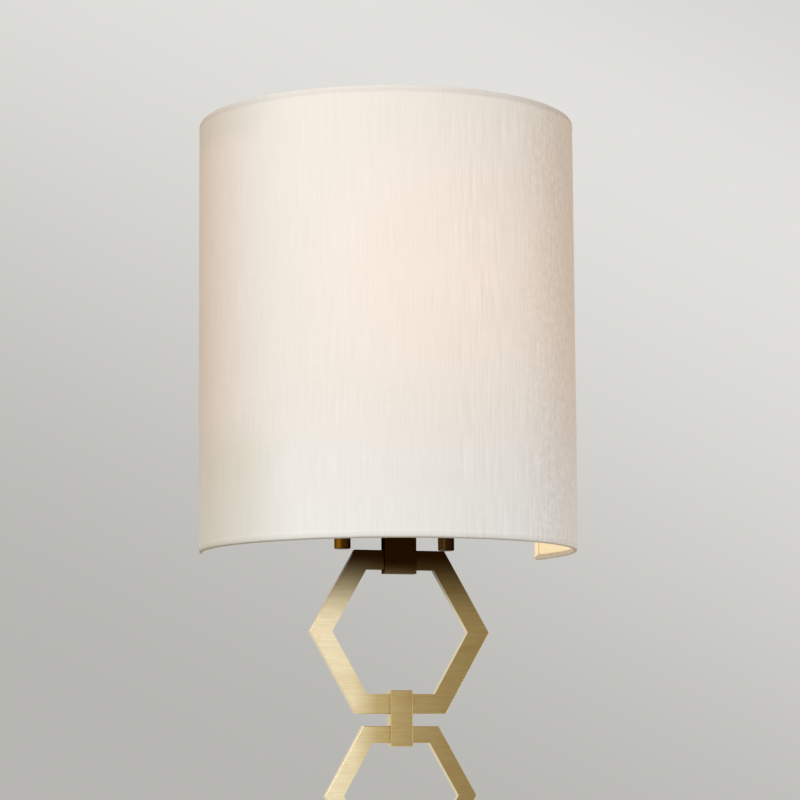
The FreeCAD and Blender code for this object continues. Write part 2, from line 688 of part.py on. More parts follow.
def make_lampholder():
    """A side-entry lampholder on a hollow threaded nipple, with its nut and distance sleeve."""
    nut_low = arm_underside_height - lampholder_nut_height
    base_low = arm_top_height + spacer_height
    base_high = base_low + lampholder_base_height
    body_high = base_high + lampholder_body_height
    x, depth = 0, lamp_axis_depth
    bore = nipple_bore / 2
    thread = nipple_diameter / 2
    nipple = [(bore, nut_low - nipple_below_nut), (thread, nut_low - nipple_below_nut),
              (thread, base_low + nipple_into_base), (bore, base_low + nipple_into_base)]
    save("lampholder_nipple", turned(nipple, x, depth))
    nut = hexagonal_prism(lampholder_nut_width, x, depth, nut_low, arm_underside_height)
    save("lampholder_nut", nut.cut(upright(thread + close_fit, x, depth, nut_low - cut_overrun,
                                           arm_underside_height + cut_overrun)))
    sleeve = [(thread + close_fit, arm_top_height), (spacer_diameter / 2, arm_top_height),
              (spacer_diameter / 2, base_low), (thread + close_fit, base_low)]
    save("lampholder_spacer", turned(sleeve, x, depth))

    outer = lampholder_diameter / 2
    neck = lampholder_base_neck_diameter / 2
    shoulder = base_low + (outer - neck) / 2
    boss_high = base_low + nipple_into_base - lampholder_wall
    base = [(thread + close_fit, base_low), (neck, base_low), (outer, shoulder), (outer, base_high),
            (outer - lampholder_wall, base_high), (outer - lampholder_wall, shoulder + lampholder_wall / 2),
            (neck, boss_high), (thread + close_fit, boss_high)]
    cup = turned(base, x, depth)
    cup = cup.cut(outward(lead_diameter / 2 + close_fit, x, lead_height, 0, depth - neck))
    save("lampholder_base", cup)

    inner = lampholder_bore / 2
    floor_low = base_high + lampholder_floor_height
    floor_high = floor_low + lampholder_floor_thickness
    hole = lampholder_rivet_bore / 2
    body = [(outer - lampholder_wall, base_high), (outer, base_high), (outer, body_high),
            (inner, body_high), (inner, floor_high), (hole, floor_high), (hole, floor_low),
            (outer - lampholder_wall, floor_low)]
    save("lampholder_body", turned(body, x, depth))

    shell_inner = lamp_cap_diameter / 2 + through_clearance
    shell_outer = shell_inner + holder_shell_thickness
    shell_high = floor_high + holder_shell_height
    flange = inner - close_fit
    flange_high = floor_high + holder_shell_thickness
    shell = [(shell_inner, floor_high), (shell_inner, shell_high), (shell_outer, shell_high),
             (shell_outer, flange_high), (flange, flange_high), (flange, floor_high)]
    save("lampholder_shell", turned(shell, x, depth))

    half = holder_contact_width / 2
    reach = holder_contact_length / 2
    bend = holder_contact_length * holder_contact_bend_share
    thick = holder_contact_thickness
    contact_high = floor_high + holder_contact_rise
    side = [(-reach, floor_high), (-bend, floor_high), (bend, contact_high - thick),
            (reach, contact_high - thick), (reach, contact_high), (bend - thick / 2, contact_high),
            (-bend - thick / 2, floor_high + thick), (-reach, floor_high + thick)]
    points = [vec(px, depth - half, height) for px, height in side]
    leaf = Part.Face(Part.makePolygon(points + points[:1])).extrude(vec(0, holder_contact_width, 0))
    save("lampholder_contact", leaf)
    return contact_high


def bulb_outline(neck, belly, low, shoulder, top):
    """A candle shape as (radius, height) points: a straight neck, then a flank that swells and rounds off."""
    swell = -math.log(2) / math.log(lamp_belly_height_share)
    flank = []
    for i in range(1, lamp_flank_steps):
        rise = (1 - math.cos(math.pi * i / lamp_flank_steps)) / 2
        radius = belly * math.sin(math.pi * rise ** swell) ** lamp_roundness_share
        flank.append((max(neck, radius), shoulder + (top - shoulder) * rise))
    return [(0, low), (neck, low), (neck, shoulder)] + flank + [(0, top)]


def make_lamp(contact_high):
    """A candle lamp: the bulb, its screw cap, the insulator and tip, and the filaments on their stem."""
    x, depth = 0, lamp_axis_depth
    tip_low = contact_high + seat_gap
    insulator_low = tip_low + lamp_tip_height
    cap_low = insulator_low + lamp_insulator_height
    cap_high = cap_low + lamp_cap_height
    collar_high = cap_high + lamp_collar_height
    top = tip_low + lamp_length
    cap_radius = lamp_cap_diameter / 2
    tip_radius = lamp_tip_diameter / 2
    neck = lamp_neck_diameter / 2

    tip = [(0, tip_low), (tip_radius / 2, tip_low), (tip_radius, insulator_low), (0, insulator_low)]
    save("lamp_tip", turned(tip, x, depth))
    insulator = [(0, insulator_low), (tip_radius, insulator_low),
                 (cap_radius - lamp_cap_thickness - close_fit, cap_low),
                 (cap_radius - lamp_cap_thickness - close_fit, cap_low + lamp_insulator_height),
                 (0, cap_low + lamp_insulator_height)]
    save("lamp_insulator", turned(insulator, x, depth))
    cap = [(cap_radius - lamp_cap_thickness, cap_low), (cap_radius, cap_low), (cap_radius, cap_high),
           (neck + lamp_cap_thickness, collar_high), (neck, collar_high),
           (cap_radius - lamp_cap_thickness, cap_high)]
    save("lamp_cap", turned(cap, x, depth))

    thick = lamp_glass_thickness
    low = collar_high - lamp_collar_height * lamp_collar_overlap_share
    shoulder = collar_high + lamp_neck_above_collar
    glass_neck = neck - seat_gap
    outside = bulb_outline(glass_neck, lamp_glass_diameter / 2, low, shoulder, top)
    hollow = bulb_outline(glass_neck - thick, lamp_glass_diameter / 2 - thick, low - cut_overrun,
                          shoulder + thick, top - thick)
    save("lamp_glass", turned(outside, x, depth).cut(turned(hollow, x, depth)))

    stem_high = low + stem_height
    flare = glass_neck - thick - close_fit
    plate = (filament_spread_diameter + filament_diameter) / 2
    stem = [(0, low), (flare, low), (stem_diameter / 2, low + stem_flare_height),
            (stem_top_diameter / 2, stem_high - filament_plate_thickness),
            (plate, stem_high - filament_plate_thickness), (plate, stem_high), (0, stem_high)]
    mast_high = stem_high + filament_height
    mast = upright(mast_diameter / 2, x, depth, stem_high, mast_high)
    crown = upright(plate, x, depth, mast_high, mast_high + filament_plate_thickness)
    save("lamp_stem", fuse([turned(stem, x, depth), mast, crown]))
    filaments = []
    place = filament_spread_diameter / 2
    for i in range(filament_count):
        angle = math.radians(360 * i / filament_count)
        filaments.append(upright(filament_diameter / 2, x + place * math.cos(angle),
                                 depth + place * math.sin(angle), stem_high, mast_high))
    save("lamp_filaments", group(filaments))


def hexagon_wire(width, middle, depth):
    """The outline of a flat-topped regular hexagon parallel to the wall."""
    points = [vec(width / 2 * math.cos(math.radians(60 * i)), depth,
                  middle + width / 2 * math.sin(math.radians(60 * i))) for i in range(6)]
    return Part.makePolygon(points + points[:1])


def hexagon_frame(width, middle, bar):
    """A flat hexagonal frame with its outer edges broken."""
    solid = Part.Face(hexagon_wire(width, middle, clasp_back_depth)).extrude(vec(0, hexagon_thickness, 0))
    edges = edges_at(solid, clasp_back_depth) + edges_at(solid, hexagon_front_depth)
    solid = solid.makeChamfer(hexagon_edge_chamfer, edges)
    window = Part.Face(hexagon_wire(width - 4 * bar / root_three, middle, clasp_back_depth - cut_overrun))
    return solid.cut(window.extrude(vec(0, hexagon_thickness + 2 * cut_overrun, 0)))


def make_column():
    """Hexagon frames, each smaller than the one above, held to each other by two-part clasps."""
    bars = [width * hexagon_bar_share for width in hexagon_widths]
    top = 0.0
    make_hanger(top, bars[0])
    for i, width in enumerate(hexagon_widths):
        flats = width * root_three / 2
        save(hexagon_names[i], hexagon_frame(width, top - flats / 2, bars[i]))
        bottom = top - flats
        if i < len(clasp_names):
            gap = width * hexagon_gap_share
            make_clasp(clasp_names[i], width, bottom, bars[i], gap, bars[i + 1])
            top = bottom - gap


def edge_broken(solid, depth):
    """Breaks the edges of a clasp's outer face that lies at the given depth."""
    return solid.makeChamfer(clasp_edge_chamfer, edges_at(solid, depth))


def make_clasp(name, width, bottom, bar, gap, next_bar):
    """One clasp: a front block with a slot for each bar, a cover over the back and two screws."""
    half = width * clasp_width_share / 2
    lip = width * clasp_lip_share
    high = bottom + bar + lip
    low = bottom - gap - next_bar - lip
    front = edge_broken(block(-half, half, clasp_back_depth, clasp_front_depth, low, high), clasp_front_depth)
    slots = [(bottom - close_fit, bottom + bar + close_fit),
             (bottom - gap - next_bar - close_fit, bottom - gap + close_fit)]
    for slot_low, slot_high in slots:
        front = front.cut(block(-half - cut_overrun, half + cut_overrun, clasp_back_depth - cut_overrun,
                                hexagon_front_depth + close_fit, slot_low, slot_high))
    cover = edge_broken(block(-half, half, cover_back_depth, clasp_back_depth, low, high), cover_back_depth)
    shank = width * clasp_screw_diameter_share / 2
    head = width * clasp_screw_head_share / 2
    reach = clasp_back_depth + hexagon_thickness * clasp_screw_engagement_share
    screws = []
    for side in (-1, 1):
        place = (side * width * clasp_screw_spacing_share / 2, bottom - gap / 2)
        cutter = countersunk(place, shank + close_fit, head + close_fit, cover_back_depth, reach + close_fit)
        front = front.cut(cutter)
        cover = cover.cut(cutter)
        screws.append(countersunk(place, shank, head, cover_back_depth, reach))
    save(name + "_front", front)
    save(name + "_cover", cover)
    save(name + "_screws", group(screws))


def countersunk(place, shank, head, face_depth, reach_depth):
    """A flat-headed screw driven from behind, its head flush with a face at face_depth."""
    x, height = place
    sink = head - shank
    profile = [(0, face_depth), (head, face_depth), (shank, face_depth + sink), (shank, reach_depth),
               (0, reach_depth)]
    return turned_outward(profile, x, height)


def make_hanger(top, bar):
    """The block under the arm that the first frame hangs in, with its back cover and screws."""
    half = hanger_width / 2
    lip = hexagon_width * clasp_lip_share
    low = top - bar - lip
    front = edge_broken(block(-half, half, clasp_back_depth, clasp_front_depth, low, arm_underside_height),
                        clasp_front_depth)
    front = front.cut(block(-half - cut_overrun, half + cut_overrun, clasp_back_depth - cut_overrun,
                            hexagon_front_depth + close_fit, top - bar - close_fit, top + close_fit))
    for cutter in hanger_screw_solids(close_fit):
        front = front.cut(cutter)
    cover = edge_broken(block(-half, half, cover_back_depth, clasp_back_depth, low, top + hanger_cover_rise),
                        cover_back_depth)
    shank = hexagon_width * clasp_screw_diameter_share / 2
    head = hexagon_width * clasp_screw_head_share / 2
    reach = clasp_back_depth + hexagon_thickness * clasp_screw_engagement_share
    screws = []
    for side in (-1, 1):
        place = (side * hanger_width / 4, top + hanger_cover_rise / 2)
        cutter = countersunk(place, shank + close_fit, head + close_fit, cover_back_depth, reach + close_fit)
        front = front.cut(cutter)
        cover = cover.cut(cutter)
        screws.append(countersunk(place, shank, head, cover_back_depth, reach))
    save("hanger_block", front)
    save("hanger_cover", cover)
    save("hanger_cover_screws", group(screws))
    save("hanger_screws", group(hanger_screw_solids(0.0)))


make_shade()
make_thumb_screws()
make_arm()
make_backplate()
make_wall_bracket()
make_terminal_block()
make_lead()
contact_top = make_lampholder()
make_lamp(contact_top)
make_column()
print("shade axis depth", round(shade_axis_depth, 2), "mount height over the lower rim", mount_height)
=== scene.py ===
"""Looks of the wall sconce: half-round fabric shade, brushed brass hexagons, studio light and camera."""

import json
import math

import bmesh
import bpy
from mathutils import Matrix, Vector


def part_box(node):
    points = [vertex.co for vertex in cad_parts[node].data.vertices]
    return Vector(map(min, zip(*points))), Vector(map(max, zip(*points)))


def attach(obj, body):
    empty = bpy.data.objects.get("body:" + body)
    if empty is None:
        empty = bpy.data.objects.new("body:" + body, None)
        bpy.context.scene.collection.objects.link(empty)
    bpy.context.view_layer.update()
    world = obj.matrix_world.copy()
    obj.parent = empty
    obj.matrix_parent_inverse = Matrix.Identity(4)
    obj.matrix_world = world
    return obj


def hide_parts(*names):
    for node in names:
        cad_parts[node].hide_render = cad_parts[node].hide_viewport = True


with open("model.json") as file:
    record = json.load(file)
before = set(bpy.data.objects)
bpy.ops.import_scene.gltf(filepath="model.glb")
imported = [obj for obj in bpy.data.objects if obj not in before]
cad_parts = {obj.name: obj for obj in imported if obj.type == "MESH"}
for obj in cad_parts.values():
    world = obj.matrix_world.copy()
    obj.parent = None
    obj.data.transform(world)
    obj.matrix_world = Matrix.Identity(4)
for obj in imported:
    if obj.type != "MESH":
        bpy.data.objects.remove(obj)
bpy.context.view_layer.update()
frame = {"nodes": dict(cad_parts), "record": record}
nodes = frame["nodes"]
MM = 0.001

# The shade's plan, read from its solids: a circle whose front is the lowest y, its sides the widest x
cloth_low, cloth_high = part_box("shade_fabric")
lining_low, lining_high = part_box("shade_lining")
shade_radius = (cloth_high.x - cloth_low.x) / 2
shade_axis_y = cloth_low.y + shade_radius
shade_bottom = cloth_low.z
shade_top = cloth_high.z
lining_radius = (lining_high.x - lining_low.x) / 2

# The cloth's rolls round the wires, its hems, and the board behind it
roll_radius = 1.55 * MM
wire_line_radius = shade_radius - roll_radius
half_angle = math.acos((shade_axis_y - (cloth_high.y - roll_radius)) / wire_line_radius)
rim_turn = 1.25 * math.pi
outer_turn = 1.43 * math.pi
inner_turn = 0.5 * math.pi
hem_height = 1.9 * MM
hem_rise = 0.15 * MM
hem_slope = 0.4 * MM
hem_clear = 1.0 * MM
cover_thickness = 0.35 * MM
inward = -1.0
lining_thickness = 0.8 * MM
lining_reach = 0.25 * MM
roll_steps = 10
wall_steps_up = 26
wall_steps_round = 150
lining_steps_round = 120

# The broken edges of the brass
edge_break = 0.18 * MM
edge_segments = 2
sharp_angle = math.radians(40)

# Camera, fitted to the shade's rims and the hexagons' corners in the photograph; lens and sensor in mm
camera_place = Vector((-0.4989, -1.5514, -0.1813))
camera_yaw = 0.3215
camera_pitch = 0.1291
camera_roll = -0.0067
camera_lens = 134.40
camera_sensor = 36.0
camera_near = 0.05
camera_far = 50.0

# Grains: how the pattern is stretched along x, y and z, how fine it is, its detail and its roughness
even = (1.0, 1.0, 1.0)
brass_scratches = ((0.03, 1.0, 1.0), 5200.0, 3.0, 0.62)
brass_streaks = ((0.035, 1.0, 1.0), 1500.0, 3.0, 0.6)
brass_patches = ((0.5, 1.0, 1.0), 160.0, 2.0, 0.55)
bronze_rings = ((0.05, 0.05, 1.0), 3800.0, 2.0, 0.6)
metal_grain = (even, 900.0, 3.0, 0.5)
plastic_grain = (even, 2600.0, 2.0, 0.5)
glass_waves = ((1.0, 1.0, 0.3), 60.0, 1.0, 0.5)
filament_grain = (even, 1800.0, 1.0, 0.5)
cloth_threads = ((1.0, 0.03, 1.0), 1150.0, 2.0, 0.6)
cloth_slubs = ((1.0, 0.05, 1.0), 420.0, 2.0, 0.6)
cloth_weft = ((0.07, 1.0, 1.0), 1100.0, 2.0, 0.6)
cloth_nap = ((1.0, 0.5, 1.0), 500.0, 3.0, 0.6)
lining_weave = ((1.0, 0.1, 1.0), 900.0, 2.0, 0.6)
floor_grain = (even, 2.0, 1.0, 0.5)

# Bands of a grain's values within which a tone changes
wide_band = (0.3, 0.7)
narrow_band = (0.35, 0.65)
weave_band = (0.36, 0.64)
nap_band = (0.32, 0.68)
stain_band = (0.45, 0.8)
falling = (1.0, 0.0)
halfway = 0.5

# Relief of each surface: its strength and its depth
brass_relief = (0.25, 0.03 * MM)
bronze_relief = (0.2, 0.03 * MM)
metal_relief = (0.15, 0.03 * MM)
plastic_relief = (0.3, 0.04 * MM)
sheath_relief = (0.1, 0.04 * MM)
glass_relief = (0.05, 0.2 * MM)
cloth_relief = (0.35, 0.16 * MM)
lining_relief = (0.2, 0.1 * MM)

# Roughness: from the smoothest place to the roughest, or how far it goes below and above the mean
brass_roughness = (0.30, 0.44)
bronze_roughness = (0.26, 0.38)
metal_spread = (-0.05, 0.07)
plastic_spread = (-0.06, 0.08)
glass_roughness = 0.03
cloth_roughness = 0.85
lining_roughness = 0.55
floor_roughness = 0.9

# Brass: painted light, pale on the left and olive on the right, and painted shadow, near black under the
# shade
white = (1.0, 1.0, 1.0)
hexagon_low, hexagon_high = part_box("large_hexagon")
brass_lit_tones = ((0.0, (0.94, 0.84, 0.60)), (0.14, (0.87, 0.76, 0.50)), (0.30, (0.56, 0.44, 0.205)),
               (0.6, (0.42, 0.31, 0.135)), (1.0, (0.32, 0.235, 0.095)))
# Side faces of the bars and clasps painted paler as a painted highlight; the pan's side faces darker
bar_side_highlight = (0.80, 0.70, 0.48)
clasp_side_highlight = (0.72, 0.60, 0.36)
pan_side = (0.42, 0.34, 0.19)
side_band = (0.35, 0.95)
brushed_tone = (0.86, 0.84, 0.80)
stain_share = 0.6
stain_tone = (0.93, 0.80, 0.70)
shadow_black = (0.016, 0.006, 0.0008)
# Painted shadow of the shade over the top of the column and over the strap
hexagon_shadow_levels = (-42 * MM, -2 * MM)
strap_shadow_levels = (-30 * MM, -6 * MM)

# Bronze: a painted highlight as a warm streak on the left of each round piece, and a painted lit and shaded
# tint on each side of the fixture
bronze_light_way = (0.947, -0.322, 0.0)
bronze_lit_and_shaded_tones = ((0.0, (0.085, 0.040, 0.004)), (0.28, (0.19, 0.10, 0.018)), (0.50, (0.045, 0.018, 0.003)),
                (1.0, (0.022, 0.009, 0.002)))
bronze_edge = (0.25, 0.15, 0.08)
bronze_span = (-25 * MM, 25 * MM)
bronze_lit_tint = (1.35, 1.40, 0.95)
bronze_shaded_tint = (0.76, 0.88, 1.9)
worn_tone = (0.80, 0.78, 0.74)

# Plain metals and plastics: colour and mean roughness
steel = ((0.62, 0.62, 0.60), 0.36)
nickel = ((0.76, 0.75, 0.71), 0.18)
bright_brass = ((0.80, 0.64, 0.32), 0.28)
black_moulding = ((0.028, 0.028, 0.03), 0.5)
black_rubber = ((0.03, 0.03, 0.03), 0.75)
white_nylon = ((0.78, 0.78, 0.74), 0.4)
clear_sheath = ((0.74, 0.74, 0.70), 0.3)
brown_sleeve = ((0.16, 0.07, 0.03), 0.35)
blue_sleeve = ((0.03, 0.12, 0.42), 0.35)
green_sleeve = ((0.16, 0.38, 0.05), 0.35)

# How much of their brightness the plain surfaces keep in the low places of their grain
metal_low_share = 0.86
plastic_low_share = 0.82
filament_low_share = 0.8
floor_low_share = 0.97

# Lamp: clear glass and a lit filament
glass_tones = ((0.90, 0.92, 0.92), (0.98, 0.98, 0.96))
glass_cover_share = 0.22
filament_colour = (1.0, 0.78, 0.46)
filament_strength = 1.0

# Cloth: its colour, and how much each set of threads adds to the weave
cloth_colour = (0.905, 0.88, 0.842)
cloth_low_share = 0.94
thread_share = 0.6
slub_share = 0.15
weft_share = 0.25
nap_share = 0.3

# Tones of the cloth by place, mostly painted light and shade: levels from the shade's bottom or top, angles
# in degrees from its front
# Painted lamplight: the cloth warmer above its bottom
lamplit_warm_levels = (5 * MM, 95 * MM)
lamplit_warm_tone = (1.0, 0.962, 0.918)
rib_angles = (-10.0, 15.0)
rib_tones = ((0.95, 0.945, 0.94), (1.01, 1.01, 1.01))
nap_angles = (15.0, 43.0)
nap_tones = ((0.89, 0.88, 0.87), (1.05, 1.045, 1.04))
# Painted shade: the cloth tan towards its sides
side_shade_middle_angle = -14.0
side_shade_angles = (34.0, 80.0)
side_shade_tone = (0.935, 0.815, 0.725)
side_shade_low_share = 0.55
side_shade_warm_share = 0.45
# Painted shade on the lower and upper hems
low_hem_levels = (2.6 * MM, 3.8 * MM)
low_hem_shade_tone = (0.96, 0.96, 0.955)
high_hem_levels = (-4.2 * MM, -2.6 * MM)
high_hem_shade_tones = ((0.90, 0.91, 0.92), (0.84, 0.85, 0.86))
# Painted shade on the cloth's lower left and upper left
left_angles = (-66.0, -46.0)
back_angles = (-96.0, -84.0)
back_share = 0.4
low_left_shade_levels = (40 * MM, 80 * MM)
low_left_shade_tone = (0.905, 0.91, 0.85)
high_left_shade_levels = (-28 * MM, -10 * MM)
high_left_shade_tone = (0.91, 0.94, 0.935)
# Painted warm lamplight high on the right
high_right_glow_levels = (80 * MM, 135 * MM)
high_right_glow_angles = (0.0, 43.0)
high_right_glow_tone = (0.98, 0.955, 0.93)
# Painted shade on the underside of the lower roll
underside_levels = (0.15 * MM, 0.9 * MM)
underside_shade_tone = (0.72, 0.66, 0.56)

# The lamp's glow through the cloth, and on what is turned in behind it
glow_place = (0.008, -0.1334, 0.080)
glow_reach = 0.120
glow_strength = 0.10
glow_colour = (1.0, 0.40, 0.12)
end_glow_width = 1.5 * MM
end_glow_strength = 0.55
hem_glow_reach = (2.6 * MM, 4.0 * MM)
hem_glow_strength = 0.16
inner_glow_colour = (1.0, 0.76, 0.44)
inner_glow_full = 0.1

# Lining: a cream laminate with the lamp's light painted on as an even glow, a little stronger towards the
# bottom
lining_tones = ((0.70, 0.61, 0.44), (0.80, 0.71, 0.52))
lining_glow_colour = (1.0, 0.80, 0.48)
lining_glow_levels = (20 * MM, 80 * MM)
lining_glow = (0.56, 0.42)

# Stage: a pale floor far below, and a grey gradient behind the object
floor_size = 90.0
floor_z = -2.4
floor_colour = (0.86, 0.86, 0.85)
floor_lift = 0.12
gradient_way = (0.382, -0.262, 0.886)
gradient_span = (-0.152, 0.113)
gradient_tones = ((0.0, (0.473, 0.468, 0.445)), (1.0, (0.763, 0.756, 0.726)))
fall_span = (0.095, 0.175)
fall_share = 0.9

# Light: even from all round, and two lamps, each with its place, what it faces, its size, power and colour
diffuse_colour = (1.0, 0.985, 0.965)
diffuse_strength = 0.449
mirrored_colour = (1.0, 0.985, 0.96)
mirrored_strength = 0.95
key_lamp = ((-1.22, -1.64, 1.05), (0.0, -0.05, 0.06), (0.9, 0.9), 30.5, (1.0, 0.995, 0.985))
fill_lamp = ((1.95, -0.42, -0.4), (0.0, -0.05, -0.02), (1.0, 1.0), 13.0, (0.94, 0.97, 1.0))


class Wiring:
    """The nodes of a surface or of the surroundings, and what joins them."""

    def __init__(self, tree):
        self.nodes = tree.nodes
        self.links = tree.links

    def feed(self, value, socket):
        """Gives an input a number, a colour or another node's output."""
        if isinstance(value, (int, float)):
            socket.default_value = value
        elif isinstance(value, tuple):
            socket.default_value = (*value, 1.0)
        else:
            self.links.new(value, socket)

    def axes(self, vector):
        """The X, Y and Z of a vector."""
        node = self.nodes.new("ShaderNodeSeparateXYZ")
        self.links.new(vector, node.inputs["Vector"])
        return node.outputs

    def noise(self, source, stretch, scale, detail, roughness):
        """Noise whose coordinates are scaled by a vector, such as long streaks along one way."""
        mapping = self.nodes.new("ShaderNodeMapping")
        mapping.inputs["Scale"].default_value = stretch
        self.links.new(source, mapping.inputs["Vector"])
        node = self.nodes.new("ShaderNodeTexNoise")
        for name, value in (("Scale", scale), ("Detail", detail), ("Roughness", roughness)):
            node.inputs[name].default_value = value
        self.links.new(mapping.outputs["Vector"], node.inputs["Vector"])
        return node.outputs["Fac"]

    def ramp(self, source, stops):
        """A colour ramp fed by a value: stops are (place, colour)."""
        node = self.nodes.new("ShaderNodeValToRGB")
        elements = node.color_ramp.elements
        while len(elements) < len(stops):
            elements.new(halfway)
        for element, (place, colour) in zip(elements, stops):
            element.position = place
            element.color = (*colour, 1.0)
        self.links.new(source, node.inputs["Fac"])
        return node.outputs["Color"]

    def toned(self, source, band, tones):
        """One colour below a band of values, another above it."""
        return self.ramp(source, tuple(zip(band, tones)))

    def reckoned(self, operation, first, second=0.0):
        """One sum on two values, each a number or another node's output."""
        node = self.nodes.new("ShaderNodeMath")
        node.operation = operation
        for value, socket in zip((first, second), node.inputs):
            self.feed(value, socket)
        return node.outputs["Value"]

    def times(self, first, second):
        """The product of two values."""
        return self.reckoned("MULTIPLY", first, second)

    def added(self, value, part, share):
        """A value plus a share of another."""
        return self.reckoned("ADD", value, self.times(part, share))

    def measured(self, operation, vector, other):
        """A number from two vectors, such as how far one goes along the other."""
        node = self.nodes.new("ShaderNodeVectorMath")
        node.operation = operation
        self.links.new(vector, node.inputs[0])
        node.inputs[1].default_value = other
        return node.outputs["Value"]

    def mixed(self, factor, first, second, blend="MIX"):
        """Two colours mixed by a factor; each is a colour or another node's output."""
        node = self.nodes.new("ShaderNodeMix")
        node.data_type = "RGBA"
        node.blend_type = blend
        colour_inputs = [s for s in node.inputs if s.type == "RGBA"]
        factor_input = next(s for s in node.inputs if s.type == "VALUE" and s.name == "Factor")
        for value, socket in zip((factor, first, second), (factor_input, *colour_inputs)):
            self.feed(value, socket)
        return next(s for s in node.outputs if s.type == "RGBA")

    def tinted(self, share, colour, tone):
        """A colour multiplied by a tone, as far as a share says."""
        return self.mixed(share, colour, tone, "MULTIPLY")

    def ranged(self, value, low, high, out_low=0.0, out_high=1.0):
        """A value mapped from one range to another and held to it."""
        node = self.nodes.new("ShaderNodeMapRange")
        node.interpolation_type = "SMOOTHSTEP"
        self.links.new(value, node.inputs["Value"])
        limits = (("From Min", low), ("From Max", high), ("To Min", out_low), ("To Max", out_high))
        for name, number in limits:
            node.inputs[name].default_value = number
        return node.outputs["Result"]

    def path(self, kind):
        """1 for one kind of ray, 0 for the others."""
        return self.nodes.new("ShaderNodeLightPath").outputs[kind]


class Surface(Wiring):
    """A material that is being made, with its shader and the place of each point on the object."""

    def __init__(self, name):
        self.material = bpy.data.materials.new(name)
        self.material.use_nodes = True
        super().__init__(self.material.node_tree)
        self.shader = self.nodes["Principled BSDF"]
        self.place = self.nodes.new("ShaderNodeTexCoord").outputs["Object"]

    def give(self, name, value):
        """Sets a property of the surface to a number, a colour or another node's output."""
        self.feed(value, self.shader.inputs[name])

    def sheet_place(self):
        """The place of each point on the flat sheet, in metres."""
        sheet = self.nodes.new("ShaderNodeUVMap")
        sheet.uv_map = "cloth"
        return sheet.outputs["UV"]

    def normal(self):
        """The way that each face looks."""
        return self.nodes.new("ShaderNodeNewGeometry").outputs["Normal"]

    def carve(self, height, relief):
        """Lets a height value disturb the surface by a relief of (strength, depth)."""
        node = self.nodes.new("ShaderNodeBump")
        node.inputs["Strength"].default_value, node.inputs["Distance"].default_value = relief
        self.links.new(height, node.inputs["Height"])
        self.links.new(node.outputs["Normal"], self.shader.inputs["Normal"])


def darker(colour, share):
    """A colour with only a share of its brightness."""
    return tuple(c * share for c in colour)


def arcs(angles):
    """Distances round the shade from its front, for angles in degrees."""
    return [shade_radius * math.radians(angle) for angle in angles]


def steps_from(base, steps):
    """Values that lie one step each above or below a base."""
    return [base + step for step in steps]


def side_share(paint):
    """How far a face is turned from the front: 0 on front faces, 1 on the side faces of a bar."""
    front = paint.reckoned("ABSOLUTE", paint.axes(paint.normal())["Y"])
    return paint.ranged(front, *side_band, *falling)


def brushed_brass(name, side_tone, shadow_span=None, edge_tint=white):
    """Aged brass brushed along x, with painted light: paler on the left than on the right, and on request a
    painted shadow darker upwards.
    """
    paint = Surface(name)
    axes = paint.axes(paint.place)
    scratches = paint.noise(paint.place, *brass_scratches)
    streaks = paint.noise(paint.place, *brass_streaks)
    patches = paint.noise(paint.place, *brass_patches)
    # Painted light: the brass paler on the left and olive on the right
    colour = paint.ramp(paint.ranged(axes["X"], hexagon_low.x, hexagon_high.x), brass_lit_tones)
    # Painted highlight on the side faces
    colour = paint.mixed(side_share(paint), colour, side_tone)
    colour = paint.tinted(1.0, colour, paint.toned(streaks, wide_band, (brushed_tone, white)))
    colour = paint.tinted(paint.ranged(patches, *stain_band, 0.0, stain_share), colour, stain_tone)
    # Painted shadow: near black towards the shade above
    if shadow_span:
        shadow_share = paint.ranged(axes["Z"], *steps_from(hexagon_high.z, shadow_span))
        colour = paint.mixed(shadow_share, colour, shadow_black)
    paint.give("Base Color", colour)
    paint.give("Metallic", 1.0)
    paint.give("Specular Tint", edge_tint)
    paint.give("Roughness", paint.ranged(scratches, *wide_band, *brass_roughness))
    paint.carve(scratches, brass_relief)
    return paint.material


def turned_bronze(name):
    """Dark turned bronze, with a painted highlight as a warm streak on the left of each round piece and
    painted shade near black on its right.
    """
    paint = Surface(name)
    # Painted highlight on faces turned to the left, painted shade on those turned to the right
    facing_light = paint.measured("DOT_PRODUCT", paint.normal(), bronze_light_way)
    colour = paint.ramp(paint.added(halfway, facing_light, halfway), bronze_lit_and_shaded_tones)
    rings = paint.noise(paint.place, *bronze_rings)
    # Painted light: a lit tint on the left of the fixture, a shaded one on the right
    rightward = paint.ranged(paint.axes(paint.place)["X"], *bronze_span)
    colour = paint.tinted(1.0, colour, paint.mixed(rightward, bronze_lit_tint, bronze_shaded_tint))
    colour = paint.tinted(1.0, colour, paint.toned(rings, wide_band, (worn_tone, white)))
    paint.give("Base Color", colour)
    paint.give("Metallic", 1.0)
    paint.give("Specular Tint", bronze_edge)
    paint.give("Roughness", paint.ranged(rings, *wide_band, *bronze_roughness))
    paint.carve(rings, bronze_relief)
    return paint.material


def metal(name, colour, roughness):
    """A plain machined or plated metal with a fine grain."""
    paint = Surface(name)
    fine = paint.noise(paint.place, *metal_grain)
    paint.give("Base Color", paint.toned(fine, narrow_band, (darker(colour, metal_low_share), colour)))
    paint.give("Metallic", 1.0)
    paint.give("Roughness", paint.ranged(fine, *wide_band, *steps_from(roughness, metal_spread)))
    paint.carve(fine, metal_relief)
    return paint.material


def plastic(name, colour, roughness, relief=plastic_relief):
    """A moulded plastic or rubber with a fine spark texture."""
    paint = Surface(name)
    fine = paint.noise(paint.place, *plastic_grain)
    paint.give("Base Color", paint.toned(fine, wide_band, (darker(colour, plastic_low_share), colour)))
    paint.give("Roughness", paint.ranged(fine, *wide_band, *steps_from(roughness, plastic_spread)))
    paint.carve(fine, relief)
    return paint.material


